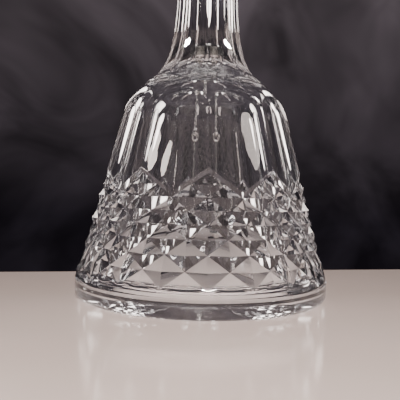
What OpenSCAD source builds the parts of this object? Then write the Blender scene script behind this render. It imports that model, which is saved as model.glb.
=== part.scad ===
// Cut-crystal hand bell: a bowl and fluted handle of one piece of glass, with a bead clapper on wire hangers.
// Millimetres, +Z up. The origin is the centre of the rim's resting plane.
// One cut ridge faces -Y. Angles go round from there, towards +X.

/* [Bell outline] */
// Outer diameter of the plain band at the rim
rim_d = 76; // [64:0.5:92]
// Height of the whole bell, from the rim to the tip of the handle
overall_h = 135; // [118:1:165]
// Height of the sharp corner where the shoulder ends and the neck starts
bell_h = 66.5; // [55:0.5:80]
// Diameter at that corner
corner_d = 29.5; // [26:0.5:36]
// Height of the smooth shoulder below the corner
shoulder_h = 12; // [9:0.5:15]
// Diameter of the body where the shoulder starts
shoulder_d = 50; // [42:0.5:60]
// Height of the plain band at the rim
band_h = 5.4; // [4:0.1:7]
// Rounding of the band's outer lower edge
foot_round = 1.6; // [1:0.1:2.4]

/* [Glass] */
// Thickness of the bowl's wall, measured level
wall = 4.6; // [3.8:0.1:5.6]
// Depth below the corner at which the hollow's crown turns up into its throat
crown_drop = 3.8; // [3:0.1:6]
// Diameter of the hollow there
crown_d = 24; // [20:0.5:28]
// Height of the rounded crown below that
crown_h = 9.4; // [8:0.2:12]
// Diameter of the throat that runs up into the neck
throat_d = 9; // [8:0.1:10]
// Depth of glass from the corner up to the top of the throat
throat_rise = 8; // [7:0.1:10]
// Width of the flat ring that the bell stands on
foot_flat = 0.8; // [0.5:0.1:1.5]
// Thickness of the heavy lip inside the band, measured level
lip_wall = 9.5; // [7:0.1:11]
// Height by which the lip's underside rises inwards, to its inner edge
lip_rise = 3.2; // [2:0.1:3.6]
// Height of the lip's upright inner face above that edge
lip_face = 0.6; // [0.4:0.1:1.2]
// Height over which the lip narrows to the wall
lip_taper = 3.2; // [2.6:0.1:4.4]

/* [Cutting] */
// Number of flat panels round the body, and of flutes round the handle
panels = 10; // [8:1:12]
// Height of the V tips where the grooves run out at the bottom
cut_bottom = 7.3; // [6.8:0.1:9]
// Height of the uncut points between the V tips above the tips
tip_rise = 1.4; // [0:0.1:2]
// Height of the highest groove crossings, on the panel ridges
cut_top = 35.8; // [30:0.2:40]
// Share by which the rows of diamonds shrink from the bottom to the top
row_taper = 0.17; // [0:0.01:0.25]
// Depth of the grooves at their crossings
groove_d = 1.3; // [0.6:0.1:1.6]
// Height of the groove wall above the zigzag
zigzag_lip = 1.4; // [0.8:0.1:2]
// Least depth of the zigzag groove below the panels
zigzag_d = 0.6; // [0.3:0.1:1]

/* [Handle] */
// Length of the flare from the corner up to the slimmest part
flare_h = 24; // [18:0.5:28]
// Diameter of the slimmest part
neck_d = 19; // [16:0.2:24]
// Distance by which the ridges between the flutes run out past the corner
ridge_reach = 2.5; // [1:0.1:3.5]
// Diameter of the swell below the tip
grip_d = 22; // [18:0.2:28]
// Height of the tapered tip
tip_h = 15; // [10:0.5:20]
// Diameter of the flat on the tip
tip_d = 6; // [4:0.2:10]
// Depth of the flutes
flute_d = 1.3; // [0.6:0.1:1.8]

/* [Clapper] */
// Diameter of the crystal bead
bead_d = 14; // [10:0.5:17]
// Height of the bead's centre above the rim
bead_z = 20; // [16:0.5:24]
// Diameter of the pin through the bead
pin_d = 1.2; // [1:0.1:1.8]
// Thickness of the bead caps
cap_t = 0.5; // [0.4:0.05:0.8]
// Diameter of each bead cap across its edge
cap_d = 5; // [4:0.1:8]
// Diameter of the pin's head
pin_head_d = 2.6; // [2.2:0.1:4]
// Height of the pin's head
pin_head_h = 0.9; // [0.6:0.1:1.4]

/* [Hangers] */
// Diameter of the wire in the hangers and eyes
wire_d = 0.8; // [0.6:0.05:0.9]
// Outer diameter of every eye
eye_d = 3.2; // [3:0.1:4]

/* [Crown fitting] */
// Depth of the resin in the top of the throat
resin_h = 4; // [3.6:0.1:4.6]
// Outer diameter of the ferrule's cup
ferrule_d = 4.4; // [4:0.1:5.2]
// Depth of the resin above the ferrule's cup
resin_cover = 0.6; // [0.4:0.1:1]
// Wall of the ferrule's cup
ferrule_wall = 0.5; // [0.4:0.05:0.7]
// Thickness of the flange
flange_t = 0.7; // [0.6:0.05:1.2]
// Thickness of the lid in the top of the cup
lid_t = 0.7; // [0.5:0.05:1]
// Diameter of the flange under the resin
flange_d = 6.4; // [5.6:0.1:7.2]
// Diameter of the swivel's shank
shank_d = 1.2; // [1:0.1:1.6]
// Thickness of the swivel's head
shank_head_t = 0.8; // [0.6:0.1:1.2]

/* [Clearances] */
// Radial clearance of the shank in its hole, and of the bead on its pin
running_gap = 0.05; // [0.02:0.01:0.08]
// Gap between wires that hang on each other
wire_gap = 0.06; // [0.04:0.01:0.1]
// Gap between the bead and its caps
cap_gap = 0.3; // [0.2:0.05:0.5]
// Radial gap between the swivel's head and the wall of the cup
head_gap = 0.4; // [0.2:0.05:0.6]
// Length of bare shank between the flange and its eye
shank_bare = 0.6; // [0.4:0.1:1]

/* [Hidden] */
$fn = 96;

// Sides of the cut surface: four columns to a panel, so the diamonds are half a panel wide.
COLUMNS_PER_PANEL = 4;
ROWS = 8;
SHOULDER_STEPS = 8;
FLARE_STEPS = 9;
GRIP_STEPS = 5;
ARC_STEPS = 10;
columns = panels * COLUMNS_PER_PANEL;
column_angle = 360 / columns;
half_panel = 180 / panels;

rim_r = rim_d / 2;
corner_r = corner_d / 2;
shoulder_r = shoulder_d / 2;
shoulder_z = bell_h - shoulder_h;
// How much the radius shrinks for each millimetre of height, on the straight part of the body
body_slope = (rim_r - shoulder_r) / (shoulder_z - band_h);

crown_z = bell_h - crown_drop;
crown_edge_z = crown_z - crown_h;
throat_top = bell_h + throat_rise;
seat_z = throat_top - resin_h;
ferrule_h = resin_h - resin_cover;
cup_bore_d = ferrule_d - 2 * ferrule_wall;
shank_head_d = cup_bore_d - 2 * head_gap;

neck_z = bell_h + flare_h;
grip_z = overall_h - tip_h;
tip_shoulder = 0.68;

// The cut glass starts this far inside the plain band, and this much narrower.
band_sink = 0.6;
band_step = 0.15;

// Hangers: each pivot is the centre of the lower wire of the eye above.
HANGERS = 2;
eye_mid_r = (eye_d - wire_d) / 2;
swivel_eye_z = seat_z - flange_t - shank_bare - eye_d / 2;
first_pivot_z = swivel_eye_z - eye_mid_r;
hang = wire_d + wire_gap;
cap_crown_r = bead_d / 2 + cap_gap + cap_t;
pin_eye_z = bead_z + cap_crown_r + eye_d / 2;
last_pivot_z = pin_eye_z + eye_mid_r - hang;
hanger_step = (first_pivot_z - last_pivot_z) / HANGERS;

// Radius of the straight part of the body at height z.
function cone_r(z) = rim_r - body_slope * (z - band_h);

// Height of groove level k, from 0 at the top to ROWS at the bottom. The rows shrink upwards.
function level_z(k) =
    let (u = (ROWS - k) / ROWS)
    cut_bottom + (cut_top - cut_bottom) * (u * (1 + row_taper) - row_taper * u * u);

// Height of the lattice at level k of column c. Between the V tips the uncut glass reaches up in points.
function lattice_z(c, k) = level_z(k) + (k == ROWS && c % 2 == 1 ? tip_rise : 0);

// Point at t, from 0 to 1, on the smooth curve from a to c that heads for b.
function bend(a, b, c, t) = (1 - t) * (1 - t) * a + 2 * t * (1 - t) * b + t * t * c;

// How many columns column c is from the nearest panel ridge: 0, 1 or 2.
function from_ridge(c) =
    let (m = c % COLUMNS_PER_PANEL)
    min(m, COLUMNS_PER_PANEL - m);

// Radius of the flat panels in column c, where the ridges have radius r.
function panel_r(c, r) = r * cos(half_panel) / cos(half_panel - from_ridge(c) * column_angle);

// Outline of the shoulder as [radius, height], t from 0 to 1.
function shoulder_at(t) =
    let (mid_z = shoulder_z + 0.42 * shoulder_h)
    bend([shoulder_r, shoulder_z], [cone_r(mid_z), mid_z], [corner_r, bell_h], t);

// Where on the shoulder, as t, its radius is r.
function shoulder_t(r) =
    let (
        bend_r = cone_r(shoulder_z + 0.42 * shoulder_h),
        a = shoulder_r - 2 * bend_r + corner_r,
        b = 2 * (bend_r - shoulder_r)
    )
    (-b - sqrt(b * b - 4 * a * (shoulder_r - r))) / (2 * a);

// Depth of the flutes in column c, as a share of flute_d.
function flute_share(c) = [0, 0.75, 1][from_ridge(c)];

// Where on the shoulder, as t, the flutes end in column c. The ridges run out past the corner.
function corner_t(c) = shoulder_t(corner_r + ridge_reach * (1 - flute_share(c)));

// Outline of the flare in column c, from the shoulder up to the slimmest part.
function flare_at(c, t) =
    let (
        cut = flute_share(c) * flute_d,
        bend_point = [neck_d / 2 + 0.5 - cut, bell_h + 0.08 * flare_h]
    )
    bend(shoulder_at(corner_t(c)), bend_point, [neck_d / 2 - cut, neck_z], t);

// Outline of the grip's ridges, from the slimmest part up to the swell.
function grip_at(t) =
    let (bend_z = neck_z + 0.42 * (grip_z - neck_z))
    bend([neck_d / 2, neck_z], [neck_d / 2 - 0.3, bend_z], [grip_d / 2, grip_z], t);

// Point in column c at radius r and height z.
function place(c, r, z) = [r * sin(c * column_angle), -r * cos(c * column_angle), z];

// Radius of the cut surface at level k of column c: a groove crossing, or the point of a diamond.
function lattice_r(c, k) =
    let (r = cone_r(lattice_z(c, k)), top = k == from_ridge(c))
    k == ROWS || (k + c) % 2 == 1 ? r
    : top ? min(r - groove_d, panel_r(c, r) - zigzag_d)
    : r - groove_d;

// Column c of the body, bottom to top: grooves, the groove wall's upper edge, then the flat panel.
function body_column(c) =
    let (top = from_ridge(c), edge_z = level_z(top) + zigzag_lip)
    [
        for (k = [ROWS : -1 : top]) place(c, lattice_r(c, k), lattice_z(c, k)),
        for (i = [0 : top + 1])
            let (z = edge_z + (shoulder_z - edge_z) * i / (top + 1))
            place(c, panel_r(c, cone_r(z)), z)
    ];

// Column c of the shoulder. The flat panels run up into it and end in arches.
function shoulder_column(c) = [
    for (i = [1 : SHOULDER_STEPS])
        let (p = shoulder_at(corner_t(c) * i / SHOULDER_STEPS))
        place(c, min(p[0], panel_r(c, cone_r(p[1]))), p[1])
];

// Column c of the handle, with its flutes, and its tip of flat facets.
function handle_column(c) = [
    for (i = [1 : FLARE_STEPS])
        let (p = flare_at(c, i / FLARE_STEPS))
        place(c, p[0], p[1]),
    for (i = [1 : GRIP_STEPS])
        let (p = grip_at(i / GRIP_STEPS))
        place(c, p[0] - flute_share(c) * flute_d, p[1]),
    for (tier = [[tip_shoulder, 0.66], [1, 1]])
        let (r = grip_d / 2 + (tip_d / 2 - grip_d / 2) * tier[1])
        place(c, panel_r(c, r), grip_z + tip_h * tier[0])
];

// Column c of the whole cut surface, from inside the plain band to the tip.
function glass_column(c) = concat(
    [place(c, rim_r - band_step, band_h - band_sink)],
    body_column(c),
    shoulder_column(c),
    handle_column(c)
);

// Whether the quad above row i, from column c to the next, splits along its rising diagonal.
function rises(c, i) =
    let (
        k = ROWS + 1 - i,
        in_grooves = k >= from_ridge(c) && k >= from_ridge(c + 1),
        uphill = c % COLUMNS_PER_PANEL >= COLUMNS_PER_PANEL / 2
    )
    in_grooves ? (k + c) % 2 == 0 : uphill;

module cut_surface() {
    grid = [for (c = [0 : columns - 1]) glass_column(c)];
    rows = len(grid[0]);
    function at(c, i) = (c % columns) * rows + i;
    sides = [
        for (c = [0 : columns - 1], i = [0 : rows - 2])
            let (a = at(c, i), b = at(c + 1, i), d = at(c, i + 1), e = at(c + 1, i + 1))
            each rises(c, i) ? [[a, d, e], [a, e, b]] : [[a, d, b], [d, e, b]]
    ];
    bottom = [for (c = [0 : columns - 1]) at(c, 0)];
    top = [for (c = [columns - 1 : -1 : 0]) at(c, rows - 1)];
    polyhedron(points = [for (column = grid) each column], faces = concat(sides, [bottom, top]));
}

// Plain band at the rim, solid to the axis, with its outer lower edge rounded.
module rim_band() {
    rotate_extrude()
        polygon(concat(
            [[0, 0]],
            [for (i = [0 : ARC_STEPS])
                let (a = 90 * i / ARC_STEPS, mid = rim_r - foot_round)
                [mid + foot_round * sin(a), foot_round * (1 - cos(a))]],
            [[rim_r, band_h], [0, band_h]]
        ));
}

// Hollow of the bowl: a heavy lip, straight sides a wall's thickness inside the body, a rounded crown, and a
// throat.
module hollow() {
    edge_r = cone_r(crown_edge_z) - wall;
    crown = [crown_d / 2, crown_z];
    crown_bend = [edge_r - body_slope * 0.75 * crown_h, crown_edge_z + 0.75 * crown_h];
    rise = (crown[1] - crown_bend[1]) / (crown_bend[0] - crown[0]);
    throat_r = throat_d / 2;
    throat_bend = [throat_r, crown_z + rise * (crown[0] - throat_r)];
    throat_low = [throat_r, 2 * throat_bend[1] - crown_z];
    foot_r = rim_r - foot_round - foot_flat;
    mouth_r = rim_r - lip_wall;
    lip_h = lip_rise + lip_face;
    lip_top = lip_h + lip_taper;
    lip_bend = [mouth_r, (lip_h + lip_top) / 2];
    lip_end = [cone_r(lip_top) - wall, lip_top];
    below = 1;
    rotate_extrude()
        polygon(concat(
            [[0, -below], [foot_r, -below], [foot_r, 0], [mouth_r, lip_rise]],
            [for (i = [0 : ARC_STEPS]) bend([mouth_r, lip_h], lip_bend, lip_end, i / ARC_STEPS)],
            [for (i = [0 : ARC_STEPS])
                bend([edge_r, crown_edge_z], crown_bend, crown, i / ARC_STEPS)],
            [for (i = [1 : ARC_STEPS]) bend(crown, throat_bend, throat_low, i / ARC_STEPS)],
            [[throat_r, throat_top], [0, throat_top]]
        ));
}

module bell_glass() {
    color("lightcyan", 0.4)
        difference() {
            union() {
                cut_surface();
                rim_band();
            }
            hollow();
        }
}

module crown_resin() {
    color("ghostwhite", 0.5)
        translate([0, 0, seat_z])
            difference() {
                cylinder(d = throat_d, h = resin_h);
                translate([0, 0, -1]) cylinder(d = ferrule_d, h = ferrule_h + 1);
            }
}

module crown_ferrule() {
    color("silver")
        difference() {
            union() {
                translate([0, 0, seat_z - flange_t]) cylinder(d = flange_d, h = flange_t);
                translate([0, 0, seat_z - flange_t]) cylinder(d = ferrule_d, h = flange_t + ferrule_h);
            }
            translate([0, 0, seat_z]) cylinder(d = cup_bore_d, h = ferrule_h + 1);
            translate([0, 0, seat_z - flange_t - 1])
                cylinder(d = shank_d + 2 * running_gap, h = flange_t + 2);
        }
}

module ferrule_lid() {
    color("silver")
        translate([0, 0, seat_z + ferrule_h - lid_t])
            cylinder(d = cup_bore_d, h = lid_t);
}

// Ring of wire in the XZ plane, centred on the axis at height z.
module eye(z) {
    translate([0, 0, z])
        rotate([90, 0, 0])
            rotate_extrude() translate([eye_mid_r, 0]) circle(d = wire_d);
}

// The swivel hangs in the ferrule by its head. Its eye's lower wire runs along X.
module swivel_eye() {
    shank_low = swivel_eye_z + eye_mid_r;
    head_low = seat_z + running_gap;
    color("silver") {
        eye(swivel_eye_z);
        translate([0, 0, shank_low]) cylinder(d = shank_d, h = head_low - shank_low);
        translate([0, 0, head_low]) cylinder(d = shank_head_d, h = shank_head_t);
    }
}

// Wire hanger number n, counted from the top, with an eye at each end. The upper one lies in the YZ plane,
// the lower one in the XZ plane.
module hanger(n) {
    upper_eye_z = first_pivot_z - (n - 1) * hanger_step + hang - eye_mid_r;
    lower_eye_z = first_pivot_z - n * hanger_step + eye_mid_r;
    shank_low = lower_eye_z + eye_mid_r;
    color("silver")
        rotate([0, 0, n % 2 == 1 ? 90 : 0]) {
            eye(upper_eye_z);
            eye(lower_eye_z);
            translate([0, 0, shank_low]) cylinder(d = wire_d, h = upper_eye_z - eye_mid_r - shank_low);
        }
}

// The pin hangs by its eye, and runs through the caps and the bead to its head.
module clapper_pin() {
    foot_z = bead_z - cap_crown_r;
    color("silver") {
        rotate([0, 0, 90]) eye(pin_eye_z);
        translate([0, 0, foot_z]) cylinder(d = pin_d, h = pin_eye_z - eye_mid_r - foot_z);
        translate([0, 0, foot_z - pin_head_h]) cylinder(d = pin_head_d, h = pin_head_h);
    }
}

// Thin metal cup that sits over the bead's upper end, or its lower one where side is -1.
module bead_cap(side) {
    inner_r = cap_crown_r - cap_t;
    edge_z = sqrt(inner_r * inner_r - cap_d * cap_d / 4);
    color("silver")
        translate([0, 0, bead_z])
            mirror([0, 0, side < 0 ? 1 : 0])
                difference() {
                    intersection() {
                        sphere(r = cap_crown_r);
                        translate([0, 0, edge_z]) cylinder(d = cap_d + 2 * cap_t, h = cap_crown_r);
                    }
                    sphere(r = inner_r);
                    cylinder(d = pin_d, h = 2 * cap_crown_r);
                }
}

module cap_top() {
    bead_cap(1);
}

module cap_bottom() {
    bead_cap(-1);
}

module clapper_bead() {
    color("azure", 0.6)
        translate([0, 0, bead_z])
            difference() {
                sphere(d = bead_d);
                cylinder(d = pin_d + 2 * running_gap, h = 2 * bead_d, center = true);
            }
}

bell_glass();
crown_resin();
crown_ferrule();
ferrule_lid();
swivel_eye();
hanger(1);  // hanger_upper
hanger(2);  // hanger_lower
clapper_pin();
cap_top();
clapper_bead();
cap_bottom();
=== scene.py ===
"""Cut-crystal hand bell standing on a pale polished table in front of black cloth.

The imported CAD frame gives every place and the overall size. The glass is rebuilt here as one closed,
finely divided mesh with crisp cut facets. The fittings inside the bell keep their CAD shapes.
"""

import logging
import math
from collections.abc import Callable, Iterable, Sequence
from dataclasses import dataclass
from enum import Enum
from typing import Any, ClassVar

import bmesh
import bpy
from mathutils import Matrix, Vector


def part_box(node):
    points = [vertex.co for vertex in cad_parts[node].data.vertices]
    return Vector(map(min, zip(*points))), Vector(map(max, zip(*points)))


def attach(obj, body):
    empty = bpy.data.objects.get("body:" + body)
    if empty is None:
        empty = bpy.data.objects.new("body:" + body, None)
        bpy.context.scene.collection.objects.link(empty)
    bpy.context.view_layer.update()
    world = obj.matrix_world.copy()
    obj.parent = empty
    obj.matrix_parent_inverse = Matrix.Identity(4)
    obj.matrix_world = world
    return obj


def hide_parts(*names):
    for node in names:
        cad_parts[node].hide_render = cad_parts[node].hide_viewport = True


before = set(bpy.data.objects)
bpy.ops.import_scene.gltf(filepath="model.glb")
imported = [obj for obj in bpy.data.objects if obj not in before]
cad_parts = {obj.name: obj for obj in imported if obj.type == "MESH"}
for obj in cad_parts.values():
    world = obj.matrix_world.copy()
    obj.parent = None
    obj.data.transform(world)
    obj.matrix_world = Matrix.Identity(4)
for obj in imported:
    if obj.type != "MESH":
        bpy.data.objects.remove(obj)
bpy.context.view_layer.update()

MM = 0.001
LOG = logging.getLogger("glass_bell")

Point = tuple[float, float, float]
Outline = list[tuple[float, float]]


# ---------------------------------------------------------------------------
# Colour and node helpers
# ---------------------------------------------------------------------------


def linear(hex_colour: str) -> tuple[float, float, float, float]:
    """Turn an sRGB hex colour into linear light.

    Args:
        hex_colour: Six hex digits, such as "c8c4bf".

    Returns:
        Linear red, green and blue, and a full alpha.
    """
    channels = [int(hex_colour[i : i + 2], 16) / 255 for i in (0, 2, 4)]
    r, g, b = (c / 12.92 if c <= 0.04045 else ((c + 0.055) / 1.055) ** 2.4 for c in channels)
    return (r, g, b, 1.0)


def add_node(
    tree: bpy.types.NodeTree,
    kind: str,
    settings: dict[str, Any] | None = None,
    links: dict[str, bpy.types.NodeSocket] | None = None,
) -> bpy.types.Node:
    """Add one node, set it up and wire its inputs.

    Args:
        tree: The node tree that takes the node.
        kind: The node's type name, such as "ShaderNodeTexNoise".
        settings: Values by input name, or by property name where no input has that name.
        links: The output sockets that feed inputs, by input name or "#" and the input's number.

    Returns:
        The new node.
    """
    node = tree.nodes.new(kind)
    for name, value in (settings or {}).items():
        if name.startswith("#"):
            node.inputs[int(name[1:])].default_value = value
        elif name in node.inputs:
            node.inputs[name].default_value = value
        else:
            setattr(node, name, value)
    for name, source in (links or {}).items():
        target = node.inputs[int(name[1:])] if name.startswith("#") else node.inputs[name]
        tree.links.new(source, target)
    return node


def new_material(name: str) -> tuple[bpy.types.Material, bpy.types.NodeTree, bpy.types.Node]:
    """Make an empty node material.

    Args:
        name: The material's name.

    Returns:
        The material, its node tree and its output node.
    """
    material = bpy.data.materials.new(name)
    material.use_nodes = True
    tree = material.node_tree
    tree.nodes.clear()
    return material, tree, tree.nodes.new("ShaderNodeOutputMaterial")


def let_lamps_through(
    tree: bpy.types.NodeTree, body: bpy.types.Node, clear: bpy.types.Node, output: bpy.types.Node
) -> None:
    """Finish a clear material: its shadows are pale, as those of real glass are.

    Args:
        tree: The material's node tree.
        body: The glassy shader that is seen.
        clear: The transparent shader that lamps meet.
        output: The material's output node.
    """
    path = add_node(tree, "ShaderNodeLightPath")
    lamps = add_node(
        tree,
        "ShaderNodeMixShader",
        links={
            "#0": path.outputs["Is Shadow Ray"],
            "#1": body.outputs["BSDF"],
            "#2": clear.outputs["BSDF"],
        },
    )
    tree.links.new(lamps.outputs["Shader"], output.inputs["Surface"])


# ---------------------------------------------------------------------------
# Finishes
# ---------------------------------------------------------------------------


@dataclass(frozen=True)
class CrystalFinish:
    """Lead crystal, cut and acid-polished: high index, so facets flash between clear and black.

    The acid leaves a faint wave on the faces and a hair of roundness on every cut edge, which shows as a thin
    bright line.
    """

    name: str = "lead_crystal_acid_polished"
    tint: str = "fbfcfd"
    shadow: str = "b8babc"
    ior: float = 1.545
    roughness: float = 0.0
    # One wave of the acid-polished face, and its height.
    wave_mm: float = 7.0
    wave_height_mm: float = 0.02
    # Rounding of a cut edge, drawn wider than on real glass so that it shows.
    edge_mm: float = 0.14

    def build(self) -> bpy.types.Material:
        """Build the material.

        Returns:
            Clear glass with a faint waviness, which lets lamps through to what stands behind it.
        """
        material, tree, output = new_material(self.name)
        place = add_node(tree, "ShaderNodeTexCoord")
        wave = add_node(
            tree,
            "ShaderNodeTexNoise",
            {"Scale": 1 / (self.wave_mm * MM), "Detail": 1.0, "Roughness": 0.4},
            {"Vector": place.outputs["Object"]},
        )
        edge = add_node(tree, "ShaderNodeBevel", {"samples": 4, "Radius": self.edge_mm * MM})
        bump = add_node(
            tree,
            "ShaderNodeBump",
            {"Strength": 1.0, "Distance": self.wave_height_mm * MM},
            {"Height": wave.outputs["Fac"], "Normal": edge.outputs["Normal"]},
        )
        glass = add_node(
            tree,
            "ShaderNodeBsdfGlass",
            {"Color": linear(self.tint), "Roughness": self.roughness, "IOR": self.ior},
            {"Normal": bump.outputs["Normal"]},
        )
        clear = add_node(tree, "ShaderNodeBsdfTransparent", {"Color": linear(self.shadow)})
        let_lamps_through(tree, glass, clear, output)
        return material


@dataclass(frozen=True)
class PlateFinish:
    """Silver plate on brass wire and stampings: bright, with soft tarnish in patches."""

    name: str = "silver_plate_polished"
    colour: str = "d9d8d6"
    tarnish: str = "a09d98"
    roughness: float = 0.16
    patch_mm: float = 2.5
    # Polishing marks are finer on real plate. They are drawn coarse enough to show.
    grain_mm: float = 0.25
    grain_height_mm: float = 0.01

    def build(self) -> bpy.types.Material:
        """Build the material.

        Returns:
            Polished metal whose colour and roughness drift in small patches.
        """
        material, tree, output = new_material(self.name)
        place = add_node(tree, "ShaderNodeTexCoord")
        patches = add_node(
            tree,
            "ShaderNodeTexNoise",
            {"Scale": 1 / (self.patch_mm * MM), "Detail": 4.0, "Roughness": 0.6},
            {"Vector": place.outputs["Object"]},
        )
        spread = add_node(
            tree,
            "ShaderNodeMapRange",
            {"From Min": 0.48, "From Max": 0.75, "To Min": 0.0, "To Max": 0.6},
            {"Value": patches.outputs["Fac"]},
        )
        colour = add_node(
            tree,
            "ShaderNodeMix",
            {"data_type": "RGBA", "#6": linear(self.colour), "#7": linear(self.tarnish)},
            {"#0": spread.outputs["Result"]},
        )
        rough = add_node(
            tree,
            "ShaderNodeMapRange",
            {"To Min": self.roughness * 0.7, "To Max": self.roughness * 2.2},
            {"Value": patches.outputs["Fac"]},
        )
        grain = add_node(
            tree,
            "ShaderNodeTexNoise",
            {"Scale": 1 / (self.grain_mm * MM), "Detail": 2.0},
            {"Vector": place.outputs["Object"]},
        )
        bump = add_node(
            tree,
            "ShaderNodeBump",
            {"Strength": 0.25, "Distance": self.grain_height_mm * MM},
            {"Height": grain.outputs["Fac"]},
        )
        metal = add_node(
            tree,
            "ShaderNodeBsdfPrincipled",
            {"Metallic": 1.0},
            {
                "Base Color": colour.outputs["Result"],
                "Roughness": rough.outputs["Result"],
                "Normal": bump.outputs["Normal"],
            },
        )
        tree.links.new(metal.outputs["BSDF"], output.inputs["Surface"])
        return material


@dataclass(frozen=True)
class ResinFinish:
    """Cast resin, clear and glossy: it all but vanishes against the glass it fills."""

    name: str = "clear_cast_resin"
    tint: str = "fafbfa"
    hazy: str = "f3f5f4"
    ior: float = 1.5
    roughness: float = 0.01
    haze_mm: float = 1.5

    def build(self) -> bpy.types.Material:
        """Build the material.

        Returns:
            Clear resin with faint swirls of tint, which lets lamps through to what stands behind it.
        """
        material, tree, output = new_material(self.name)
        place = add_node(tree, "ShaderNodeTexCoord")
        swirl = add_node(
            tree,
            "ShaderNodeTexNoise",
            {"Scale": 1 / (self.haze_mm * MM), "Detail": 2.0, "Distortion": 1.0},
            {"Vector": place.outputs["Object"]},
        )
        tint = add_node(
            tree,
            "ShaderNodeMix",
            {"data_type": "RGBA", "#6": linear(self.tint), "#7": linear(self.hazy)},
            {"#0": swirl.outputs["Fac"]},
        )
        body = add_node(
            tree,
            "ShaderNodeBsdfGlass",
            {"Roughness": self.roughness, "IOR": self.ior},
            {"Color": tint.outputs["Result"]},
        )
        clear = add_node(tree, "ShaderNodeBsdfTransparent", links={"Color": tint.outputs["Result"]})
        let_lamps_through(tree, body, clear, output)
        return material


@dataclass(frozen=True)
class TableFinish:
    """Pale laminate, satin: a plain top that mirrors softly at a low angle."""

    name: str = "pale_laminate_satin"
    colour: str = "cfc4bf"
    cloudy: str = "c4b8b3"
    ior: float = 1.45
    roughness: float = 0.13
    cloud_mm: float = 60.0

    def build(self) -> bpy.types.Material:
        """Build the material.

        Returns:
            Pale satin laminate with very faint clouding.
        """
        material, tree, output = new_material(self.name)
        place = add_node(tree, "ShaderNodeTexCoord")
        clouds = add_node(
            tree,
            "ShaderNodeTexNoise",
            {"Scale": 1 / (self.cloud_mm * MM), "Detail": 3.0},
            {"Vector": place.outputs["Object"]},
        )
        colour = add_node(
            tree,
            "ShaderNodeMix",
            {"data_type": "RGBA", "#6": linear(self.colour), "#7": linear(self.cloudy)},
            {"#0": clouds.outputs["Fac"]},
        )
        body = add_node(
            tree,
            "ShaderNodeBsdfPrincipled",
            {"Roughness": self.roughness, "IOR": self.ior},
            {"Base Color": colour.outputs["Result"]},
        )
        tree.links.new(body.outputs["BSDF"], output.inputs["Surface"])
        return material


# ---------------------------------------------------------------------------
# Mesh helpers
# ---------------------------------------------------------------------------


def bend(a: Sequence[float], b: Sequence[float], c: Sequence[float], t: float) -> tuple[float, ...]:
    """Point on the smooth curve from a to c that heads for b.

    Args:
        a: Start.
        b: The point that both ends head for.
        c: End.
        t: Place on the curve, from 0 to 1.

    Returns:
        The point.
    """
    return tuple((1 - t) ** 2 * p + 2 * t * (1 - t) * q + t * t * r for p, q, r in zip(a, b, c))


def mix(a: Sequence[float], b: Sequence[float], t: float) -> tuple[float, ...]:
    """Point at t, from 0 to 1, on the straight line from a to b.

    Args:
        a: Start.
        b: End.
        t: Place on the line.

    Returns:
        The point.
    """
    return tuple(p + (q - p) * t for p, q in zip(a, b))


class Patchwork:
    """Collects patches of surface and welds them into one closed mesh."""

    def __init__(self, weld_m: float = 2e-7) -> None:
        """Start empty.

        Args:
            weld_m: Points nearer than this, in metres, become one.
        """
        self.bm = bmesh.new()
        self.weld_m = weld_m

    def face(self, points: Iterable[Sequence[float]]) -> None:
        """Add one face.

        Args:
            points: Its corners in millimetres, anticlockwise from outside.
        """
        corners = [self.bm.verts.new(Vector(p) * MM) for p in points]
        self.bm.faces.new(corners)

    def sheet(self, rows: Sequence[Sequence[Sequence[float]]]) -> None:
        """Add a sheet of quads.

        Args:
            rows: Rows of points from bottom to top, each going round anticlockwise from above.
        """
        grid = [[self.bm.verts.new(Vector(p) * MM) for p in row] for row in rows]
        for low, high in zip(grid, grid[1:]):
            for i in range(len(low) - 1):
                self.bm.faces.new((low[i], low[i + 1], high[i + 1], high[i]))

    def facet(self, a: Sequence[float], b: Sequence[float], c: Sequence[float], steps: int) -> None:
        """Add a flat triangular facet, divided evenly so that its edges match its neighbours'.

        Args:
            a: First corner.
            b: Second corner, anticlockwise from outside.
            c: Third corner.
            steps: Number of divisions along each side.
        """
        rows = []
        for i in range(steps + 1):
            left, right = mix(a, c, i / steps), mix(b, c, i / steps)
            count = steps - i
            shares = [j / count if count else 0 for j in range(count + 1)]
            rows.append([self.bm.verts.new(Vector(mix(left, right, t)) * MM) for t in shares])
        for low, high in zip(rows, rows[1:]):
            for j in range(len(high)):
                self.bm.faces.new((low[j], low[j + 1], high[j]))
                if j + 1 < len(high):
                    self.bm.faces.new((low[j + 1], high[j + 1], high[j]))

    def finish(self, name: str, crease_deg: float) -> bpy.types.Object:
        """Weld the patches and make the object.

        Args:
            name: The object's name.
            crease_deg: Edges sharper than this stay crisp.

        Returns:
            A smooth-shaded object with sharp edges at its creases.
        """
        bmesh.ops.remove_doubles(self.bm, verts=self.bm.verts, dist=self.weld_m)
        bmesh.ops.dissolve_degenerate(self.bm, dist=self.weld_m, edges=self.bm.edges)
        loose = sum(1 for edge in self.bm.edges if len(edge.link_faces) != 2)
        LOG.info("%s: %d faces, %d open edges", name, len(self.bm.faces), loose)
        bmesh.ops.recalc_face_normals(self.bm, faces=self.bm.faces)
        mesh = bpy.data.meshes.new(name)
        self.bm.to_mesh(mesh)
        self.bm.free()
        mesh.shade_smooth()
        mesh.set_sharp_from_angle(angle=math.radians(crease_deg))
        body = bpy.data.objects.new(name, mesh)
        bpy.context.scene.collection.objects.link(body)
        return body


# ---------------------------------------------------------------------------
# The glass
# ---------------------------------------------------------------------------


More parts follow.
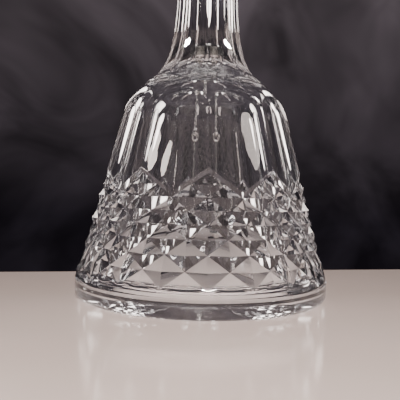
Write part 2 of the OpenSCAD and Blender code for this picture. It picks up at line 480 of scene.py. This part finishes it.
@dataclass(frozen=True)
class GlassSizes:
    """Sizes of the bell's glass, in millimetres, as in the CAD.

    Each bend is a share of the height of its own curve: where the point stands that both ends head for.
    """

    # The bowl, from its rim to the corner under the neck.
    rim_r: float
    height: float
    panels: int = 10
    corner_z: float = 66.5
    corner_r: float = 14.75
    shoulder_h: float = 12.0
    shoulder_r: float = 25.0
    shoulder_bend: float = 0.42
    # The plain band and the heavy lip that the bell rests on.
    band_h: float = 5.4
    foot_round: float = 1.6
    foot_flat: float = 0.8
    lip_wall: float = 9.5
    lip_rise: float = 3.2
    lip_h: float = 3.8
    lip_top: float = 7.0
    # The hollow. The bond is how far the resin's surface lies inside the glass round it.
    wall: float = 4.6
    crown_drop: float = 3.8
    crown_r: float = 12.0
    crown_h: float = 9.4
    crown_bend: float = 0.75
    throat_r: float = 4.5
    throat_rise: float = 8.0
    bond: float = 0.04
    # The cut diamonds, their V tips and the zigzag above them.
    cut_bottom: float = 7.3
    tip_rise: float = 1.4
    cut_top: float = 35.8
    row_taper: float = 0.17
    groove_d: float = 1.3
    zigzag_lip: float = 1.4
    zigzag_d: float = 0.6
    # The fluted neck and grip, and the faceted tip.
    neck_r: float = 9.5
    neck_ease: float = 0.5
    flare_h: float = 24.0
    flare_bend: float = 0.08
    flute_d: float = 1.3
    ridge_reach: float = 2.5
    grip_r: float = 11.0
    grip_ease: float = 0.3
    grip_bend: float = 0.42
    tip_h: float = 15.0
    tip_r: float = 3.0
    tip_break: tuple[float, float] = (0.68, 0.66)

    @property
    def shoulder_z(self) -> float:
        """Height where the shoulder starts."""
        return self.corner_z - self.shoulder_h

    @property
    def slope(self) -> float:
        """Shrink of the radius for each millimetre of height on the straight body."""
        return (self.rim_r - self.shoulder_r) / (self.shoulder_z - self.band_h)


class BellGlass:
    """Bowl and fluted handle, one piece of crystal."""

    ROWS: ClassVar[int] = 8
    COLUMNS_PER_PANEL: ClassVar[int] = 4
    FINE: ClassVar[int] = 6
    CREASE_DEG: ClassVar[float] = 7.0

    def __init__(self, sizes: GlassSizes, finish: CrystalFinish) -> None:
        """Keep the sizes and work out the angles.

        Args:
            sizes: The glass's sizes.
            finish: The crystal's finish.
        """
        self.s = sizes
        self.finish = finish
        self.column_deg = 360 / (sizes.panels * self.COLUMNS_PER_PANEL)
        self.half_panel = math.pi / sizes.panels
        mid_z = sizes.shoulder_z + sizes.shoulder_bend * sizes.shoulder_h
        self.shoulder_mid = (self.cone_r(mid_z), mid_z)

    def cone_r(self, z: float) -> float:
        """Radius of the straight part of the body at height z."""
        return self.s.rim_r - self.s.slope * (z - self.s.band_h)

    def ridge_share(self, c: float) -> float:
        """Distance of column c from the nearest panel ridge, as a share of half a panel, 0 to 1."""
        m = c % self.COLUMNS_PER_PANEL
        return min(m, self.COLUMNS_PER_PANEL - m) / (self.COLUMNS_PER_PANEL / 2)

    def panel_r(self, c: float, r: float) -> float:
        """Radius of the flat panels in column c where their ridges have radius r."""
        off = self.half_panel * (1 - self.ridge_share(c))
        return r * math.cos(self.half_panel) / math.cos(off)

    def place(self, c: float, r: float, z: float) -> Point:
        """Point in column c, at radius r and height z."""
        a = math.radians(c * self.column_deg)
        return (r * math.sin(a), -r * math.cos(a), z)

    def level_z(self, k: int) -> float:
        """Height of a groove level. The rows get a little lower towards the top.

        Args:
            k: The level, from 0 at the top.

        Returns:
            Its height.
        """
        u = (self.ROWS - k) / self.ROWS
        span = self.s.cut_top - self.s.cut_bottom
        return self.s.cut_bottom + span * (u * (1 + self.s.row_taper) - self.s.row_taper * u * u)

    def lattice(self, c: int, k: int) -> Point:
        """Corner of the cut pattern.

        Args:
            c: Its column.
            k: Its groove level, from 0 at the top.

        Returns:
            A groove crossing, a diamond's point or, at the bottom, a point on uncut glass.
        """
        z = self.level_z(k)
        bottom = k == self.ROWS
        if bottom and c % 2:
            z += self.s.tip_rise
        r = self.cone_r(z)
        if bottom or (k + c) % 2:
            return self.place(c, r, z)
        if k == self.top_level(c):
            return self.place(c, min(r - self.s.groove_d, self.panel_r(c, r) - self.s.zigzag_d), z)
        return self.place(c, r - self.s.groove_d, z)

    def top_level(self, c: int) -> int:
        """Highest groove level in column c: 0 on a ridge, 2 in the middle of a panel."""
        m = c % self.COLUMNS_PER_PANEL
        return min(m, self.COLUMNS_PER_PANEL - m)

    def edge_z(self, c: float) -> float:
        """Height of the groove wall's upper edge, which zigzags in straight lines.

        Args:
            c: The column, which may lie between two whole ones.

        Returns:
            The edge's height there.
        """
        low = math.floor(c)
        z = [self.level_z(self.top_level(i)) + self.s.zigzag_lip for i in (low, low + 1)]
        return z[0] + (z[1] - z[0]) * (c - low)

    def shoulder_at(self, t: float) -> tuple[float, float]:
        """Radius and height on the shoulder at t, from 0 to 1."""
        s = self.s
        return bend((s.shoulder_r, s.shoulder_z), self.shoulder_mid, (s.corner_r, s.corner_z), t)

    def shoulder_t(self, fits: Callable[[float, float], bool]) -> float:
        """Find how far up the shoulder a test holds, by halving.

        Args:
            fits: The test, given a radius and a height.

        Returns:
            The last place on the shoulder, as t from 0 to 1, where the test holds.
        """
        low, high = 0.0, 1.0
        halvings = 40
        for _ in range(halvings):
            mid = (low + high) / 2
            if fits(*self.shoulder_at(mid)):
                low = mid
            else:
                high = mid
        return low

    def flute_share(self, c: float) -> float:
        """Depth of the flutes in column c, as a share of their full depth."""
        return 1 - (1 - self.ridge_share(c)) ** 2

    def fine_columns(self) -> list[float]:
        """Every finely divided column once round, with the first again at the end."""
        count = self.s.panels * self.COLUMNS_PER_PANEL * self.FINE
        return [i / self.FINE for i in range(count + 1)]

    def turned(self, outline: Outline) -> list[list[Point]]:
        """Rows of points from an outline of radii and heights, turned about the axis."""
        return [[self.place(c, r, z) for c in self.fine_columns()] for r, z in outline]

    def add_grooves(self, work: Patchwork) -> None:
        """Add the diamonds' facets, from the V tips up to the zigzag.

        Args:
            work: The patchwork that takes them.
        """
        for c in range(self.s.panels * self.COLUMNS_PER_PANEL):
            for k in range(self.ROWS, 0, -1):
                a, b = self.lattice(c, k), self.lattice(c + 1, k)
                d, e = self.lattice(c, k - 1), self.lattice(c + 1, k - 1)
                left_in, right_in = k - 1 >= self.top_level(c), k - 1 >= self.top_level(c + 1)
                if (k + c) % 2 == 0:
                    if right_in:
                        work.facet(a, b, e, self.FINE)
                    if left_in and right_in:
                        work.facet(a, e, d, self.FINE)
                else:
                    if left_in:
                        work.facet(a, b, d, self.FINE)
                    if left_in and right_in:
                        work.facet(d, b, e, self.FINE)

    def add_upper_body(self, work: Patchwork) -> None:
        """Add the groove wall above the zigzag, the flat panels and the smooth shoulder.

        Args:
            work: The patchwork that takes them.
        """
        wall_steps, panel_steps, shoulder_steps = 2, 24, 20
        columns = []
        for c in self.fine_columns():
            low = math.floor(c)
            groove = mix(self.lattice_top(low), self.lattice_top(low + 1), c - low)
            edge_z = self.edge_z(c)
            edge = self.place(c, self.panel_r(c, self.cone_r(edge_z)), edge_z)
            arch_t = self.shoulder_t(lambda r, z, c=c: r >= self.panel_r(c, self.cone_r(z)))
            arch_r, arch_z = self.shoulder_at(arch_t)
            arch = self.place(c, arch_r, arch_z)
            end_t = self.corner_t(c)
            column = [mix(groove, edge, i / wall_steps) for i in range(wall_steps)]
            column += [mix(edge, arch, i / panel_steps) for i in range(panel_steps)]
            for i in range(shoulder_steps + 1):
                r, z = self.shoulder_at(arch_t + (end_t - arch_t) * i / shoulder_steps)
                column.append(self.place(c, r, z))
            columns.append(column)
        work.sheet(list(zip(*columns)))

    def lattice_top(self, c: int) -> Point:
        """Highest groove crossing in column c."""
        return self.lattice(c, self.top_level(c))

    def corner_t(self, c: float) -> float:
        """Where on the shoulder, as t, the flutes end in column c. The ridges run out further."""
        end_r = self.s.corner_r + self.s.ridge_reach * (1 - self.flute_share(c))
        return self.shoulder_t(lambda r, z: r >= end_r)

    def add_handle(self, work: Patchwork) -> None:
        """Add the fluted neck and grip, and the faceted tip.

        Args:
            work: The patchwork that takes them.
        """
        s = self.s
        flare_steps, grip_steps = 36, 20
        neck_z, grip_z = s.corner_z + s.flare_h, s.height - s.tip_h
        columns = []
        for c in self.fine_columns():
            cut = self.flute_share(c) * s.flute_d
            start = self.shoulder_at(self.corner_t(c))
            mid = (s.neck_r + s.neck_ease - cut, s.corner_z + s.flare_bend * s.flare_h)
            slim = (s.neck_r - cut, neck_z)
            column = [bend(start, mid, slim, i / flare_steps) for i in range(flare_steps)]
            swell_mid = (s.neck_r - s.grip_ease - cut, neck_z + s.grip_bend * (grip_z - neck_z))
            swell = (s.grip_r - cut, grip_z)
            column += [bend(slim, swell_mid, swell, i / grip_steps) for i in range(grip_steps + 1)]
            for height, narrowing in (s.tip_break, (1.0, 1.0)):
                r = s.grip_r + (s.tip_r - s.grip_r) * narrowing
                column.append((self.panel_r(c, r), grip_z + s.tip_h * height))
            columns.append([self.place(c, r, z) for r, z in column])
        rows = list(zip(*columns))
        work.sheet(rows)
        work.face(rows[-1][:-1])

    def add_foot_and_hollow(self, work: Patchwork) -> None:
        """Add the plain band, the heavy lip, and the hollow up to the top of the throat.

        Args:
            work: The patchwork that takes them.
        """
        s = self.s
        arc, steps = 8, 16
        band = [(s.rim_r, s.band_h)]
        band += [
            (s.rim_r - s.foot_round * (1 - math.cos(a)), s.foot_round * (1 - math.sin(a)))
            for a in (math.pi / 2 * i / arc for i in range(arc + 1))
        ]
        mouth_r = s.rim_r - s.lip_wall
        band += [(s.rim_r - s.foot_round - s.foot_flat, 0.0), (mouth_r, s.lip_rise), (mouth_r, s.lip_h)]
        self.join_band(work, band)

        crown = (s.crown_r, s.corner_z - s.crown_drop)
        edge_z = crown[1] - s.crown_h
        edge = (self.cone_r(edge_z) - s.wall, edge_z)
        bend_h = s.crown_bend * s.crown_h
        crown_bend = (edge[0] - s.slope * bend_h, edge_z + bend_h)
        rise = (crown[1] - crown_bend[1]) / (crown_bend[0] - crown[0])
        throat_r = s.throat_r - s.bond
        throat_bend = (throat_r, crown[1] + rise * (crown[0] - throat_r))
        throat_low = (throat_r, 2 * throat_bend[1] - crown[1])
        throat_top = (throat_r, s.corner_z + s.throat_rise - s.bond)
        lip_top = (self.cone_r(s.lip_top) - s.wall, s.lip_top)
        lip_bend = (mouth_r, (s.lip_h + s.lip_top) / 2)
        outline = [bend((mouth_r, s.lip_h), lip_bend, lip_top, i / steps) for i in range(steps)]
        outline += [mix(lip_top, edge, i / steps) for i in range(steps)]
        outline += [bend(edge, crown_bend, crown, i / steps) for i in range(steps)]
        outline += [bend(crown, throat_bend, throat_low, i / steps) for i in range(steps)]
        outline += [throat_low, throat_top]
        rows = self.turned(outline)
        work.sheet([row[::-1] for row in rows])
        work.face(rows[-1][:0:-1])

    def join_band(self, work: Patchwork, band: Outline) -> None:
        """Add the uncut glass from the V tips down to the band, and the band itself.

        Args:
            work: The patchwork that takes them.
            band: Radii and heights from the band's top edge to the mouth.
        """
        tips = []
        for c in self.fine_columns():
            low = math.floor(c)
            tips.append(mix(self.lattice(low, self.ROWS), self.lattice(low + 1, self.ROWS), c - low))
        top = [self.place(c, *band[0]) for c in self.fine_columns()]
        uncut_steps = 4
        rows = []
        for i in range(uncut_steps + 1):
            row = []
            for c, high, low in zip(self.fine_columns(), tips, top):
                z = high[2] + (low[2] - high[2]) * i / uncut_steps
                row.append(high if i == 0 else self.place(c, self.cone_r(z), z))
            rows.append(row)
        rows += self.turned(band[1:])
        work.sheet(rows[::-1])

    def build(self) -> bpy.types.Object:
        """Build and dress the glass, in place of its CAD node.

        Returns:
            The glass, riding on the bell's body.
        """
        work = Patchwork()
        self.add_grooves(work)
        self.add_upper_body(work)
        self.add_handle(work)
        self.add_foot_and_hollow(work)
        glass = work.finish("cut_crystal_bell", crease_deg=self.CREASE_DEG)
        glass.data.materials.append(self.finish.build())
        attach(glass, "bell")
        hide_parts("bell_glass")
        LOG.info("glass: %s", glass.name)
        return glass


# ---------------------------------------------------------------------------
# Fittings kept from the CAD
# ---------------------------------------------------------------------------


@dataclass(frozen=True)
class Fittings:
    """The crown fitting, the wire hangers and the clapper, whose CAD shapes are right."""

    plate: PlateFinish
    resin: ResinFinish
    bead: CrystalFinish

    METAL: ClassVar[tuple[str, ...]] = (
        "crown_ferrule",
        "ferrule_lid",
        "swivel_eye",
        "hanger_upper",
        "hanger_lower",
        "clapper_pin",
        "cap_top",
        "cap_bottom",
    )

    def dress(self, nodes: Sequence[str], material: bpy.types.Material) -> None:
        """Give a material to CAD nodes, and leave their meshes as they are.

        Args:
            nodes: The nodes' names.
            material: What they are made of.
        """
        for node in nodes:
            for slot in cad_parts[node].material_slots:
                slot.link = "OBJECT"
                slot.material = material
            LOG.info("%s: %s", node, material.name)

    def build(self) -> None:
        """Dress every fitting."""
        self.dress(self.METAL, self.plate.build())
        self.dress(("crown_resin",), self.resin.build())
        self.dress(("clapper_bead",), self.bead.build())


# ---------------------------------------------------------------------------
# Setting
# ---------------------------------------------------------------------------


@dataclass(frozen=True)
class TableSizes:
    """Sizes of the table top, in millimetres."""

    behind: float = 45.0
    in_front: float = 700.0
    half_width: float = 600.0
    thickness: float = 24.0
    edge_round: float = 2.0
    edge_steps: int = 4
    crease_deg: float = 40.0
    turn_deg: float = 9.0
    gap: float = 0.04


class Table:
    """The pale table top that the bell stands on."""

    def __init__(self, sizes: TableSizes, finish: TableFinish) -> None:
        """Keep the sizes and finish.

        Args:
            sizes: The table's sizes.
            finish: The table's finish.
        """
        self.s = sizes
        self.finish = finish

    def build(self) -> bpy.types.Object:
        """Build the table top as a slab with rounded edges.

        Returns:
            The table, logged as stage.
        """
        s = self.s
        bm = bmesh.new()
        bmesh.ops.create_cube(bm, size=1.0)
        length = s.behind + s.in_front
        for v in bm.verts:
            v.co.x *= 2 * s.half_width * MM
            v.co.y = (v.co.y * length + s.behind - length / 2) * MM
            v.co.z = (v.co.z - 0.5) * s.thickness * MM - s.gap * MM
        bmesh.ops.bevel(
            bm, geom=bm.edges, offset=s.edge_round * MM, segments=s.edge_steps, profile=0.5, affect="EDGES"
        )
        mesh = bpy.data.meshes.new("table_top")
        bm.to_mesh(mesh)
        bm.free()
        mesh.shade_smooth()
        mesh.set_sharp_from_angle(angle=math.radians(s.crease_deg))
        table = bpy.data.objects.new("table_top", mesh)
        bpy.context.scene.collection.objects.link(table)
        table.rotation_euler.z = math.radians(s.turn_deg)
        mesh.materials.append(self.finish.build())
        LOG.info("stage: %s", table.name)
        return table


class Side(Enum):
    """Where a soft light stands, as seen from the camera."""

    LEFT = "left"
    RIGHT = "right"
    FRONT = "front"
    BACK = "back"


@dataclass(frozen=True)
class SoftLight:
    """A soft oval light: its place, aim and size in millimetres, and its power in watts."""

    side: Side
    at: Point
    aim: Point
    width: float
    height: float
    power: float
    colour: str = "fff0e7"


# Two narrow lamps on the left and one on the right make the long highlights on the flat panels. The front
# lamp lights the table, and the dim back ones fill the flutes of the neck.
LIGHTS = (
    SoftLight(Side.RIGHT, (300.0, -279.0, 276.0), (11.0, -24.0, 44.0), 15.0, 66.0, 0.03),
    SoftLight(Side.LEFT, (-275.0, -309.0, 272.0), (-14.0, -24.0, 41.0), 9.0, 46.0, 0.028),
    SoftLight(Side.LEFT, (-264.0, -320.0, 266.0), (-11.0, -25.0, 39.0), 8.0, 42.0, 0.022),
    SoftLight(Side.FRONT, (40.0, -500.0, 480.0), (0.0, -60.0, 0.0), 60.0, 60.0, 11.0),
    SoftLight(Side.BACK, (-350.0, 470.0, 262.0), (0.0, 0.0, 75.0), 350.0, 210.0, 1.1),
    SoftLight(Side.BACK, (395.0, 410.0, 250.0), (0.0, 0.0, 75.0), 240.0, 210.0, 0.9),
)


@dataclass(frozen=True)
class View:
    """The camera's lens and place, in millimetres and degrees."""

    focal: float = 45.9
    sensor: float = 36.0
    distance: float = 158.4
    eye: float = 30.5
    azimuth: float = -2.7
    pitch: float = 0.7
    yaw: float = 0.27
    roll: float = 1.4


@dataclass(frozen=True)
class ClothFinish:
    """Black satin cloth, hung loosely all round, with light painted into its colour: painted sheen on soft
    folds, and the cloth painted lighter high up.
    """

    name: str = "black_cloth_surround"
    # Painted light: both colours are the same black cloth, lighter high up and darker low down.
    high: str = "4a4347"
    low: str = "19161b"
    horizon: float = -0.05
    full_height: float = 0.45
    folds: float = 4.0
    twist: float = 1.6
    dullest: float = 0.6
    brightest: float = 1.9


@dataclass(frozen=True)
class Studio:
    """Lights, surround and camera."""

    view: View
    cloth: ClothFinish
    lights: tuple[SoftLight, ...]
    clear_bounces: int = 32
    mirror_bounces: int = 12

    def add_light(self, light: SoftLight) -> None:
        """Add one soft light.

        Args:
            light: Its place, size and power.
        """
        data = bpy.data.lights.new(f"softbox_{light.side.value}", "AREA")
        data.shape = "ELLIPSE"
        data.size = light.width * MM
        data.size_y = light.height * MM
        data.energy = light.power
        data.color = linear(light.colour)[:3]
        lamp = bpy.data.objects.new(data.name, data)
        bpy.context.scene.collection.objects.link(lamp)
        place, aim = Vector(light.at) * MM, Vector(light.aim) * MM
        lamp.location = place
        lamp.rotation_euler = (aim - place).to_track_quat("-Z", "Y").to_euler()
        LOG.info("light: %s", lamp.name)

    def build_world(self) -> None:
        """Make the world out of the cloth."""
        cloth = self.cloth
        world = bpy.data.worlds.new(cloth.name)
        bpy.context.scene.world = world
        world.use_nodes = True
        tree = world.node_tree
        tree.nodes.clear()
        place = add_node(tree, "ShaderNodeTexCoord")
        split = add_node(tree, "ShaderNodeSeparateXYZ", links={"Vector": place.outputs["Generated"]})
        # Painted light: the cloth's colour runs from darker low down to lighter high up.
        height = add_node(
            tree,
            "ShaderNodeMapRange",
            {"From Min": cloth.horizon, "From Max": cloth.full_height},
            {"Value": split.outputs["Z"]},
        )
        colour = add_node(
            tree,
            "ShaderNodeMix",
            {"data_type": "RGBA", "#6": linear(cloth.low), "#7": linear(cloth.high)},
            {"#0": height.outputs["Result"]},
        )
        # Painted sheen: noise brightens and dims the cloth in soft folds.
        folds = add_node(
            tree,
            "ShaderNodeTexNoise",
            {"Scale": cloth.folds, "Detail": 3.0, "Roughness": 0.5, "Distortion": cloth.twist},
            {"Vector": place.outputs["Generated"]},
        )
        sheen = add_node(
            tree,
            "ShaderNodeMapRange",
            {"From Min": 0.35, "From Max": 0.75, "To Min": cloth.dullest, "To Max": cloth.brightest},
            {"Value": folds.outputs["Fac"]},
        )
        back = add_node(
            tree,
            "ShaderNodeBackground",
            links={"Color": colour.outputs["Result"], "Strength": sheen.outputs["Result"]},
        )
        output = add_node(tree, "ShaderNodeOutputWorld")
        tree.links.new(back.outputs["Background"], output.inputs["Surface"])

    def build_camera(self) -> None:
        """Place the camera at the viewing angle."""
        view = self.view
        data = bpy.data.cameras.new("view")
        data.lens = view.focal
        data.sensor_width = view.sensor
        data.clip_start = 0.01
        camera = bpy.data.objects.new("view", data)
        bpy.context.scene.collection.objects.link(camera)
        turn = Matrix.Rotation(math.radians(view.azimuth), 4, "Z")
        move = Matrix.Translation(Vector((0.0, -view.distance, view.eye)) * MM)
        yaw = Matrix.Rotation(math.radians(view.yaw), 4, "Z")
        tilt = Matrix.Rotation(math.radians(90 - view.pitch), 4, "X")
        roll = Matrix.Rotation(math.radians(view.roll), 4, "Z")
        camera.matrix_world = turn @ move @ yaw @ tilt @ roll
        bpy.context.scene.camera = camera

    def set_light_paths(self) -> None:
        """Give light enough bounces to cross every wall of glass."""
        cycles = bpy.context.scene.cycles
        cycles.max_bounces = self.clear_bounces
        cycles.transmission_bounces = self.clear_bounces
        cycles.glossy_bounces = self.mirror_bounces
        cycles.transparent_max_bounces = self.clear_bounces

    def build(self) -> None:
        """Build the setting round the bell."""
        for light in self.lights:
            self.add_light(light)
        self.build_world()
        self.build_camera()
        self.set_light_paths()


def main() -> None:
    """Build the setting, the glass and the fittings, in that order."""
    logging.basicConfig(level=logging.INFO, format="%(name)s: %(message)s")
    Studio(View(), ClothFinish(), LIGHTS).build()
    Table(TableSizes(), TableFinish()).build()
    low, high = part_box("bell_glass")
    sizes = GlassSizes(rim_r=(high[0] - low[0]) / 2 / MM, height=high[2] / MM)
    crystal = CrystalFinish()
    BellGlass(sizes, crystal).build()
    bead = CrystalFinish(name="crystal_bead_polished", tint="f7f9fb", wave_height_mm=0.004)
    Fittings(PlateFinish(), ResinFinish(), bead).build()


if __name__ == "__main__":
    main()
